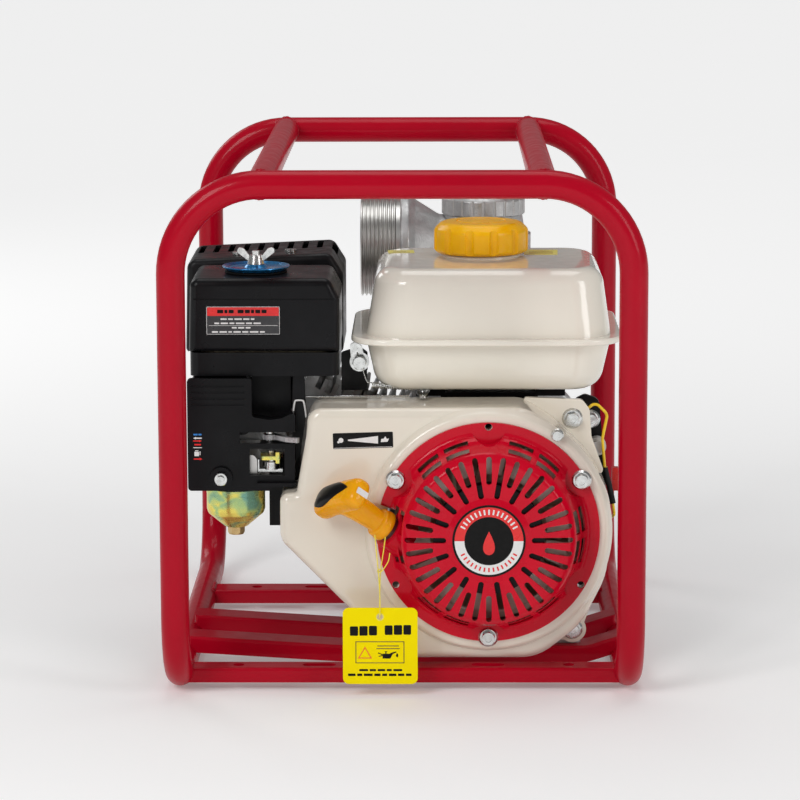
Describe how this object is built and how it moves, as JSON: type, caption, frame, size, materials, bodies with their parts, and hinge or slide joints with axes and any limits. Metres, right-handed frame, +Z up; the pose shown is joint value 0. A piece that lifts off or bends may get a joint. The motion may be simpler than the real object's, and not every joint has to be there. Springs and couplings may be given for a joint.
{
  "type": "portable fire pump",
  "caption": "Petrol engine driving a centrifugal water pump, carried in a red bent-tube frame with hose spigots, recoil starter, fuel tank and air cleaner.",
  "frame": {"origin": "centre of the footprint on the floor, under the two bottom rails", "axes": "+Z up, -Y the recoil starter side, +Y the suction port side, +X to the right seen from the starter"},
  "size_m": [0.383, 0.498, 0.423],
  "materials": {
    "red_frame": "gloss powder coat",
    "red_cover": "gloss",
    "cast_alu": "as cast",
    "machined_alu": "machined",
    "steel_black": "satin black",
    "steel_dark": "oiled steel",
    "zinc": "bright zinc",
    "cast_iron": "machined casting",
    "black_plastic": "fine grain",
    "white_plastic": "satin",
    "yellow_plastic": "satin gloss",
    "cream": "gloss",
    "cream_nylon": "satin",
    "yellow_card": "printed plastic sheet",
    "rope": "braided",
    "blue_washer": "anodised",
    "filter_foam": "foam and pleated paper",
    "grey_lever": "satin",
    "yellow_zinc": "yellow chromate",
    "yellow_lead": "smooth",
    "rubber": "matte"
  },
  "bodies": {
    "unit": {"air_cleaner_base": "black_plastic", "air_filter_element": "filter_foam", "bottom_rails": "red_frame", "brackets": "steel_black", "carburettor_body": "machined_alu", "carburettor_bowl": "yellow_zinc", "control_panel": "black_plastic", "cover_bolts": "zinc", "crankcase": "cast_alu", "cross_bars": "red_frame", "cylinder_head": "cast_alu", "discharge_head": "cast_alu", "engine_bolts": "zinc", "engine_rails": "red_frame", "fan_cover": "cream", "front_hoop": "red_frame", "ignition_leads": "yellow_lead", "intake_fasteners": "zinc", "intake_manifold": "cast_alu", "lever_pivots": "zinc", "muffler": "steel_dark", "muffler_guard": "steel_black", "piston": "machined_alu", "pump_adapter": "cast_alu", "pump_bolts": "zinc", "pump_casing": "cast_alu", "rear_hoop": "red_frame", "recoil_case": "red_cover", "recoil_internals": "steel_dark", "rocker_cover": "steel_black", "seals": "rubber", "side_cover": "cast_alu", "spark_plug": "zinc", "suction_flange": "cast_alu", "tank_lower": "cream", "tank_strainer": "white_plastic", "tank_upper": "cream", "top_rails": "red_frame", "volute": "cast_iron"},
    "crank": {"crankshaft": "steel_dark", "flywheel": "cast_iron", "cooling_fan": "cream_nylon", "impeller": "cast_iron"},
    "reel": {"recoil_reel": "black_plastic", "recoil_rope": "rope"},
    "grip": {"starter_grip": "yellow_plastic", "grip_insert": "black_plastic", "reminder_tag": "yellow_card", "tag_string": "yellow_card"},
    "fuel_cap": {"fuel_cap": "yellow_plastic"},
    "oil_cap": {"oil_filler_cap": "black_plastic"},
    "air_cover": {"air_cleaner_cover": "black_plastic", "air_cleaner_washer": "blue_washer"},
    "wing_nut": {"wing_nut": "zinc"},
    "choke": {"choke_lever": "grey_lever"},
    "fuel_tap": {"fuel_lever": "yellow_zinc"},
    "throttle": {"throttle_lever": "zinc"},
    "governor": {"governor_arm": "zinc"},
    "filler_cap": {"filler_cap": "cast_alu"},
    "check_valve": {"check_flap": "rubber"}
  },
  "joints": [
    {"name": "crank_spin", "type": "hinge", "parent": "unit", "child": "crank", "pos_m": [0.068, 0, 0.1288], "axis": [0, 1, 0], "continuous": true},
    {"name": "starter_pull", "type": "slide", "parent": "unit", "child": "grip", "axis": [-0.6003, -0.5503, 0.5803], "range_m": [0, 0.6]},
    {"name": "reel_spin", "type": "hinge", "parent": "unit", "child": "reel", "pos_m": [0.068, -0.22, 0.1288], "axis": [0, -1, 0], "continuous": true},
    {"name": "fuel_cap_lift", "type": "slide", "parent": "unit", "child": "fuel_cap", "axis": [0, 0, 1], "range_m": [0, 0.04]},
    {"name": "oil_cap_draw", "type": "slide", "parent": "unit", "child": "oil_cap", "axis": [1, 0, 0], "range_m": [0, 0.045]},
    {"name": "air_cover_lift", "type": "slide", "parent": "unit", "child": "air_cover", "axis": [0, 0, 1], "range_m": [0, 0.048]},
    {"name": "wing_nut_turn", "type": "hinge", "parent": "air_cover", "child": "wing_nut", "pos_m": [-0.1204, -0.11, 0.337], "axis": [0, 0, 1], "continuous": true},
    {"name": "choke_turn", "type": "hinge", "parent": "unit", "child": "choke", "pos_m": [-0.108, -0.153, 0.198], "axis": [0, 0, 1], "range_deg": [-40, 0]},
    {"name": "fuel_tap_turn", "type": "hinge", "parent": "unit", "child": "fuel_tap", "pos_m": [-0.107, -0.1525, 0.183], "axis": [0, 0, 1], "range_deg": [-20, 12]},
    {"name": "throttle_turn", "type": "hinge", "parent": "unit", "child": "throttle", "pos_m": [-0.036, -0.1225, 0.255], "axis": [0, 1, 0], "range_deg": [-20, 15]},
    {"name": "governor_turn", "type": "hinge", "parent": "unit", "child": "governor", "pos_m": [0.016, -0.122, 0.23], "axis": [0, 0, 1], "range_deg": [-12, 12]},
    {"name": "filler_cap_lift", "type": "slide", "parent": "unit", "child": "filler_cap", "axis": [0, 0, 1], "range_m": [0, 0.03]},
    {"name": "check_valve_swing", "type": "hinge", "parent": "unit", "child": "check_valve", "pos_m": [0.068, 0.188, 0.221], "axis": [-1, 0, 0], "range_deg": [0, 55]}
  ],
  "couplings": [
    {"joint": "reel_spin", "follows": "starter_pull", "rad_per_m": 26.7}
  ]
}
